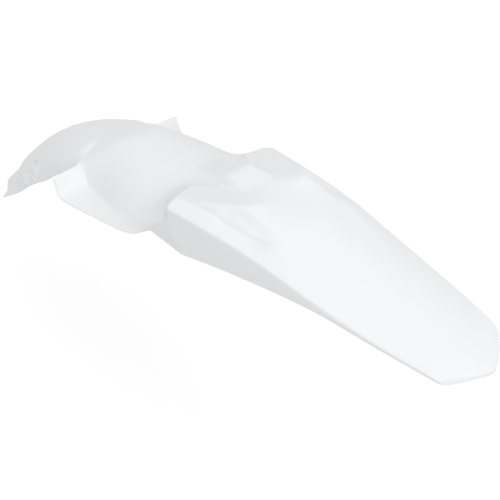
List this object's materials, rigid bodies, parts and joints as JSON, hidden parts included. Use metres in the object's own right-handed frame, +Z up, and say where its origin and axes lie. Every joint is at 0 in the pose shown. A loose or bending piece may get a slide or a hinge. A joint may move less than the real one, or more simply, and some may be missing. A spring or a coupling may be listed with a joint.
{
  "type": "motorcycle rear fender",
  "caption": "One-piece moulded rear fender: a curved nose, an arched middle with two side wings, two arms round a notch, and a long tapering tail with side walls.",
  "frame": {"origin": "middle of the fender's bounding box, on its plane of symmetry", "axes": "+X to the vehicle's rear along the tail, +Y to the vehicle's right, +Z up; the nose hangs down at the front"},
  "size_m": [0.763, 0.2382, 0.3178],
  "materials": {
    "white_plastic": "moulded white plastic with a soft gloss"
  },
  "bodies": {
    "root": {"rear_fender": "white_plastic"}
  },
  "joints": []
}
